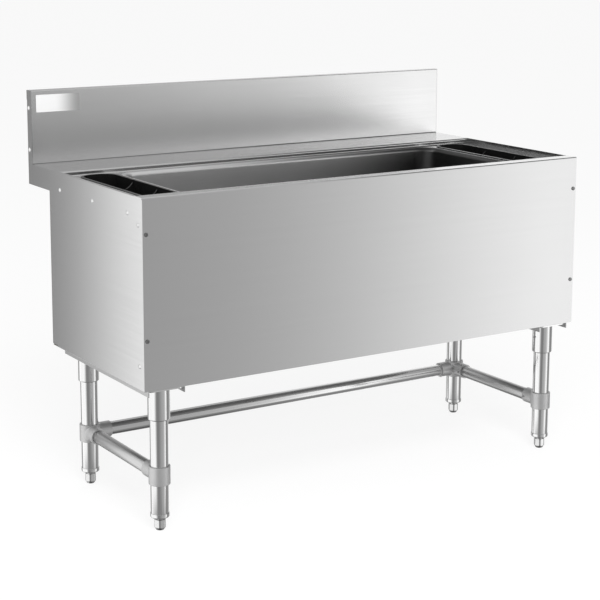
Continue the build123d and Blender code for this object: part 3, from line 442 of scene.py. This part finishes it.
def surface(name, grid, ring_loop, material, body, nodes=()):
    """A closed surface over a grid of points. Places on a ring always join round. The rings join round too,
    or else the first and the last are filled. It faces outwards: its volume, a sixth of the sum of each
    triangle's first corner dotted with the cross product of the others, is positive."""
    rings, places = grid.shape[:2]
    number = np.arange(rings * places).reshape(rings, places)
    onward = np.roll(number, -1, axis=0) if ring_loop else number[1:]
    here = number if ring_loop else number[:-1]
    corners = [here, np.roll(here, -1, axis=1), np.roll(onward, -1, axis=1), onward]
    quads = np.stack(corners, axis=-1).reshape(-1, 4)
    points = grid.reshape(-1, 3)
    centred = points - points.mean(axis=0)
    first, second, third, fourth = (centred[quads[:, side]] for side in range(4))
    volume = (first * np.cross(second, third)).sum() + (first * np.cross(third, fourth)).sum()
    faces = quads.tolist()
    if not ring_loop:
        faces += [number[0][::-1].tolist(), number[-1].tolist()]
    if volume < 0:
        faces = [face[::-1] for face in faces]
    mesh = bpy.data.meshes.new(name)
    mesh.from_pydata(points.tolist(), [], faces)
    mesh.shade_smooth()
    mesh.set_sharp_from_angle(angle=SHARP_ANGLE)
    mesh.materials.append(material)
    piece = bpy.data.objects.new(name, mesh)
    bpy.context.scene.collection.objects.link(piece)
    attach(piece, body)
    if nodes:
        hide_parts(*nodes)
    return piece


def angles():
    """Evenly spaced angles round a full turn."""
    return np.arange(ROUND_COUNT) * 2 * math.pi / ROUND_COUNT


def around(centre, theta, reaches, heights):
    """Points at their reach from an upright axis, at each angle and height."""
    across, back = centre[0] + reaches * np.cos(theta), centre[1] + reaches * np.sin(theta)
    return np.stack([across, back, heights], axis=-1)


def turned(profile, centre, reach=circle):
    """Carries a profile of (radius, height) round an upright axis: point (i, j) lies at the section's reach
    for radius i and angle j from the centre, at height i."""
    theta = angles()
    reaches = np.stack([reach(theta, radius) for radius in profile[:, 0]])
    heights = np.broadcast_to(profile[:, 1:], reaches.shape)
    return around(centre, theta, reaches, heights)


def middle_of(low, high):
    return [(bottom + top) / 2 for bottom, top in zip(low, high)]


def tube_profile(outer, inner, low, high):
    corners = [(inner, low), (outer, low), (outer, high), (inner, high)]
    return filleted(corners, [EDGE_BREAK] * len(corners), EDGE_STEPS)


def leg(node):
    """A polished tube with its cut ends deburred."""
    low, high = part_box(node)
    outer = (high[0] - low[0]) / 2
    grid = turned(tube_profile(outer, outer - LEG_WALL, low[2], high[2]), middle_of(low, high))
    surface(f"{node}_tube", grid, True, LEG_STEEL, "chest", [node])


def rail(node, material):
    """A polished tube laid along the longest side of its node's box."""
    low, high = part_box(node)
    middle = middle_of(low, high)
    along = int(np.argmax(np.array(high) - np.array(low)))
    outer = (high[2] - low[2]) / 2
    half = (high[along] - low[along]) / 2
    grid = turned(tube_profile(outer, outer - RAIL_WALL, -half, half), (0.0, 0.0))
    lying = np.empty_like(grid)
    lying[..., along] = grid[..., 2] + middle[along]
    lying[..., 1 - along] = grid[..., 0] + middle[1 - along]
    lying[..., 2] = grid[..., 1] + middle[2]
    surface(f"{node}_tube", lying, True, material, "chest", [node])


def leg_socket(node):
    """A cup with a rounded lip, a weld bead under its plate and the square plate itself: rings that follow
    the cup's circle, then the plate's rounded square, then the bore."""
    low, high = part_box(node)
    centre = middle_of(low, high)
    plate_half = (high[0] - low[0]) / 2
    under = high[2] - SOCKET_PLATE
    cup = filleted(
        [(SOCKET_BORE, low[2]), (SOCKET_RADIUS, low[2]), (SOCKET_RADIUS, under), (plate_half, under)],
        [EDGE_BREAK, SOCKET_ROUND, SOCKET_BEAD])
    plate = filleted(
        [(SOCKET_BORE, under), (plate_half, under), (plate_half, high[2]), (SOCKET_BORE, high[2])],
        [0.0, EDGE_BREAK, EDGE_BREAK])[1:]
    round_part = turned(cup[:-1], centre)
    square_part = turned(plate[:-1], centre, reach=rounded_square)
    last = turned(plate[-1:], centre)
    grid = np.concatenate([round_part, square_part, last])
    surface(f"{node}_cup", grid, True, LEG_STEEL, "chest", [node])


def leg_insert(node):
    """A ring with a rounded foot that shows below the tube, and its plug inside the tube."""
    low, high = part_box(node)
    outer = (high[0] - low[0]) / 2
    shoulder = low[2] + INSERT_RING
    corners = [(INSERT_BORE, low[2]), (outer, low[2]), (outer, shoulder), (INSERT_PLUG, shoulder),
               (INSERT_PLUG, high[2]), (INSERT_BORE, high[2])]
    profile = filleted(corners, [EDGE_BREAK, INSERT_ROUND, INSERT_EDGE, 0.0, EDGE_BREAK, EDGE_BREAK])
    grid = turned(profile, middle_of(low, high))
    surface(f"{node}_ring", grid, True, LEG_STEEL, "chest", [node])


def foot(node):
    """A levelling foot in one surface: a tip, a hexagon, a neck and a stem with a thread. The thread's
    radius falls from the stem's by its depth times twice the distance, in pitches, from the nearest crest,
    which climbs one pitch per turn."""
    low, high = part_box(node)
    centre = middle_of(low, high)
    base = low[2]
    top = base + FOOT_HEIGHT
    corners = [(0.0, base), (FOOT_TIP, base), (FOOT_BODY, base + FOOT_TIP_HEIGHT),
               (FOOT_BODY, base + FOOT_SHOULDER), (FOOT_NECK, base + FOOT_NECK_START), (FOOT_NECK, top)]
    profile = filleted(corners, [0.0, FOOT_TIP_ROUND, FOOT_BODY_ROUND, FOOT_BODY_ROUND])[1:]
    body = turned(profile, centre, reach=hexagon)
    theta = angles()
    heights = np.arange(top, high[2] - THREAD_PITCH, THREAD_PITCH / THREAD_STEPS)[:, None]
    turns = (heights - base) / THREAD_PITCH - theta / (2 * math.pi)
    from_crest = 2 * np.abs(turns - np.round(turns))
    radii = STEM_RADIUS - THREAD_DEPTH * from_crest
    stem = around(centre, theta, radii, np.broadcast_to(heights, radii.shape))
    end_radius = STEM_RADIUS - THREAD_DEPTH
    end_height = heights[-1, 0] + THREAD_PITCH / 2
    end = turned(np.array([(end_radius, end_height), (end_radius - THREAD_DEPTH, high[2])]), centre)
    grid = np.concatenate([body, stem, end])
    surface(f"{node}_turned", grid, False, FOOT_METAL, node, [node])


def cast_fairing(node, towards, name):
    """The cast fillet between a collar and one of its sleeves. A ball rolls in the corner between the ring
    and the sleeve: for each angle round the sleeve its centre lies at both radii plus its own, and the fillet
    is the arc between its two points of contact. The ball shrinks towards the sleeve's top and foot. Behind
    the arc the surface closes through the corner itself."""
    angle = angles()
    ball = FAIRING_LEAST + (FAIRING_MOST - FAIRING_LEAST) * np.cos(angle) ** 2
    aside = (SLEEVE_RADIUS + ball) * np.cos(angle)
    above = (SLEEVE_RADIUS + ball) * np.sin(angle)
    out = np.sqrt((COLLAR_RADIUS + ball) ** 2 - aside**2)
    centre = np.stack([out, aside, above], axis=-1)
    to_sleeve = -np.stack([np.zeros_like(angle), np.cos(angle), np.sin(angle)], axis=-1)
    to_ring = -np.stack([out, aside, np.zeros_like(angle)], axis=-1) / (COLLAR_RADIUS + ball)[:, None]
    turn = np.arccos(np.clip((to_sleeve * to_ring).sum(axis=-1), -1, 1))[None, :, None]
    share = np.linspace(0, 1, CORNER_COUNT + 1)[:, None, None]
    ways = (np.sin((1 - share) * turn) * to_sleeve + np.sin(share * turn) * to_ring) / np.sin(turn)
    arc = centre + ways * ball[:, None]
    corner_aside = (SLEEVE_RADIUS - FAIRING_SINK) * np.cos(angle)
    corner_above = (SLEEVE_RADIUS - FAIRING_SINK) * np.sin(angle)
    corner_out = np.sqrt((COLLAR_RADIUS - FAIRING_SINK) ** 2 - corner_aside**2)
    corner = np.stack([corner_out, corner_aside, corner_above], axis=-1)[None]
    local = np.concatenate([arc, corner])
    along, across = np.array(towards), np.array((-towards[1], towards[0]))
    low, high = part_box(node.replace("_collar", ""))
    place = middle_of(low, high)
    height = middle_of(*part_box(node))[2]
    grid = np.empty_like(local)
    grid[..., :2] = place[:2] + local[..., :1] * along + local[..., 1:2] * across
    grid[..., 2] = height + local[..., 2]
    surface(f"{node}_{name}_fairing", grid, True, COLLAR_METAL, "chest")


def base_pieces():
    """The legs with their sockets, inserts and feet, the rails between them and the collars' fairings."""
    for side, inward in (("left", 1.0), ("right", -1.0)):
        for row, rail_way in (("front", 1.0), ("rear", -1.0)):
            leg(f"{side}_{row}_leg")
            leg_socket(f"{side}_{row}_leg_socket")
            leg_insert(f"{side}_{row}_leg_insert")
            foot(f"{side}_{row}_foot")
            cast_fairing(f"{side}_{row}_leg_collar", (0.0, rail_way), "side")
        cast_fairing(f"{side}_rear_leg_collar", (inward, 0.0), "rear")
        rail(f"{side}_side_rail", SIDE_RAIL_STEEL_PAINTED_SHADE)
    rail("rear_rail", REAR_RAIL_STEEL)


# The brightness that a ramp's white stands for
RAMP_TOP = 2.0

# Brightness of the studio by heading, in degrees from the front, towards the right end of the bin
STUDIO_LEVELS = [
    (-180, 0.45), (-150, 1.15), (-120, 1.22), (-76, 1.22), (-64, 0.80), (-54, 0.30), (-36, 0.24), (-18, 0.32),
    (0, 0.42), (20, 0.48), (38, 1.00), (48, 1.10), (60, 0.40), (70, 0.26), (110, 0.40), (138, 1.15),
    (144, 1.08), (151, 0.55), (160, 0.45), (180, 0.45),
]

# Brightness above, below and straight down, and the heights of a unit ray over which each takes over
ZENITH = 0.50
ZENITH_RISE = (0.30, 0.75)
NADIR = 0.27
NADIR_RISE = (-0.74, -0.48)
UNDERSIDE = 0.10
UNDERSIDE_RISE = (-0.95, -0.86)

# The floor's reach, its grey and its own glow
FLOOR_HALF = 40.0
FLOOR_TONE = 0.22
FLOOR_GLOW = 0.82

# A lamp in front of the bin, for matt surfaces alone
LAMP_PLACE = (-1.5, -3.5, 3.2)
LAMP_TARGET = (0.0, 0.0, 0.5)
LAMP_SIZE = 3.0
LAMP_WATTS = 170.0

# Brightness of the card in front of the bin, by place along X
FRONT_CARD_Y = -2.55
FRONT_CARD_Z = (-2.0, 2.2)
FRONT_CARD_LEVELS = [
    (-0.40, 0.44), (0.20, 0.47), (0.54, 0.50), (0.90, 0.56), (1.20, 0.66), (1.50, 0.80), (1.85, 1.01),
    (2.20, 1.22), (2.50, 1.36), (2.90, 1.36), (3.40, 0.80), (3.80, 0.40),
]

# Brightness of the card beside the left end, by place along Y
SIDE_CARD_X = -1.21
SIDE_CARD_Z = (-1.6, 3.0)
SIDE_CARD_LEVELS = [
    (0.55, 1.36), (0.90, 1.30), (1.00, 1.08), (1.10, 0.92), (1.23, 0.72), (1.36, 0.52), (1.46, 0.40),
    (1.60, 0.34), (2.20, 0.30), (4.00, 0.30),
]

# Brightness of the card over the ice cavity, by place along X
TOP_CARD_Z = 1.05
TOP_CARD_Y = (-0.34, 0.22)
TOP_CARD_LEVELS = [(-0.80, 0.85), (-0.10, 0.75), (0.10, 0.50), (0.28, 0.16), (0.90, 0.08)]


def ramp_of(tree, value, levels):
    """A brightness that follows a table of places and levels, with the value in the table's own units."""
    first, last = levels[0][0], levels[-1][0]
    share = tree.add("ShaderNodeMapRange", {"Value": value, "From Min": first, "From Max": last}).outputs[0]
    ramp = tree.add("ShaderNodeValToRGB", {0: share})
    stops = ramp.color_ramp.elements
    for place, level in levels[1:-1]:
        stops.new((place - first) / (last - first))
    for stop, (place, level) in zip(stops, levels):
        stop.color = grey(level / RAMP_TOP)
    return ramp.outputs[0]


def studio():
    """Light from all round, brightest at the left end and at the back, dim below. The camera itself sees a
    white backdrop."""
    world = bpy.data.worlds.new("studio")
    world.use_nodes = True
    tree = Tree(world.node_tree)
    ray = tree.add("ShaderNodeTexCoord").outputs["Generated"]
    axes = tree.add("ShaderNodeSeparateXYZ", {0: ray}).outputs
    heading = tree.math("ARCTAN2", axes["X"], tree.math("MULTIPLY", axes["Y"], -1.0))
    ring = ramp_of(tree, tree.math("DEGREES", heading), STUDIO_LEVELS)
    above = tree.between(axes["Z"], *ZENITH_RISE, 0.0, 1.0)
    below = tree.between(axes["Z"], *NADIR_RISE, 1.0, 0.0)
    straight_down = tree.between(axes["Z"], *UNDERSIDE_RISE, 1.0, 0.0)
    sky = tree.mixed(above, ring, grey(ZENITH / RAMP_TOP))
    sky = tree.mixed(below, sky, grey(NADIR / RAMP_TOP))
    sky = tree.mixed(straight_down, sky, grey(UNDERSIDE / RAMP_TOP))
    light = tree.add("ShaderNodeBackground", {"Color": sky, "Strength": RAMP_TOP})
    backdrop = tree.add("ShaderNodeBackground", {"Color": grey(1.0), "Strength": 1.0})
    seen = tree.add("ShaderNodeLightPath").outputs["Is Camera Ray"]
    mixed = tree.add("ShaderNodeMixShader", {0: seen, 1: light.outputs[0], 2: backdrop.outputs[0]})
    tree.tree.links.new(mixed.outputs[0], tree.add("ShaderNodeOutputWorld").inputs["Surface"])
    bpy.context.scene.world = world
    bpy.context.scene.view_settings.view_transform = "Standard"


def reflector(name, corners, axis, levels):
    """A card that only polished surfaces see, with its brightness along one axis."""
    mesh = bpy.data.meshes.new(name)
    mesh.from_pydata(corners, [], [(0, 1, 2, 3)])
    card = bpy.data.objects.new(name, mesh)
    bpy.context.scene.collection.objects.link(card)
    material = bpy.data.materials.new(name)
    material.use_nodes = True
    tree = Tree(material.node_tree)
    place = tree.add("ShaderNodeSeparateXYZ", {0: tree.own_place()}).outputs[axis]
    glow = tree.add("ShaderNodeEmission", {"Color": ramp_of(tree, place, levels), "Strength": RAMP_TOP})
    tree.tree.links.new(glow.outputs[0], tree.add("ShaderNodeOutputMaterial").inputs["Surface"])
    mesh.materials.append(material)
    card.visible_camera = False
    card.visible_diffuse = False
    card.visible_shadow = False


def studio_cards():
    """The cards that give the front, the splash and the left end their gradients, and one over the ice cavity
    that leaves its right end dark."""
    low, high = FRONT_CARD_Z
    left, right = FRONT_CARD_LEVELS[0][0], FRONT_CARD_LEVELS[-1][0]
    y = FRONT_CARD_Y
    front_corners = [(left, y, low), (right, y, low), (right, y, high), (left, y, high)]
    reflector("front card", front_corners, "X", FRONT_CARD_LEVELS)
    low, high = SIDE_CARD_Z
    near, far = SIDE_CARD_LEVELS[0][0], SIDE_CARD_LEVELS[-1][0]
    x = SIDE_CARD_X
    side_corners = [(x, near, low), (x, far, low), (x, far, high), (x, near, high)]
    reflector("side card", side_corners, "Y", SIDE_CARD_LEVELS)
    front, back = TOP_CARD_Y
    left, right = TOP_CARD_LEVELS[0][0], TOP_CARD_LEVELS[-1][0]
    z = TOP_CARD_Z
    top_corners = [(left, front, z), (right, front, z), (right, back, z), (left, back, z)]
    reflector("top card", top_corners, "X", TOP_CARD_LEVELS)


def matt_lamp():
    """A broad soft lamp that steel doesn't mirror."""
    data = bpy.data.lights.new("matt lamp", "AREA")
    data.size = LAMP_SIZE
    data.energy = LAMP_WATTS
    lamp = bpy.data.objects.new("matt lamp", data)
    bpy.context.scene.collection.objects.link(lamp)
    lamp.location = LAMP_PLACE
    lamp.rotation_euler = (Vector(LAMP_TARGET) - Vector(LAMP_PLACE)).to_track_quat("-Z", "Y").to_euler()
    lamp.visible_glossy = False


def pale_floor():
    """A plain floor. Steel doesn't mirror it, as on a sweep of studio paper lit from below."""
    corners = [(-FLOOR_HALF, -FLOOR_HALF, 0), (FLOOR_HALF, -FLOOR_HALF, 0), (FLOOR_HALF, FLOOR_HALF, 0),
               (-FLOOR_HALF, FLOOR_HALF, 0)]
    mesh = bpy.data.meshes.new("floor")
    mesh.from_pydata(corners, [], [(0, 1, 2, 3)])
    floor = bpy.data.objects.new("floor", mesh)
    bpy.context.scene.collection.objects.link(floor)
    material = bpy.data.materials.new("floor paper")
    material.use_nodes = True
    paper = {"Base Color": grey(FLOOR_TONE), "Roughness": 1.0, "Specular IOR Level": 0.0,
             "Emission Color": grey(1.0), "Emission Strength": FLOOR_GLOW}
    for socket, value in paper.items():
        material.node_tree.nodes["Principled BSDF"].inputs[socket].default_value = value
    mesh.materials.append(material)
    floor.visible_glossy = False


dress_nodes()
base_pieces()
studio()
studio_cards()
matt_lamp()
pale_floor()
place_camera()

bpy.context.view_layer.update()
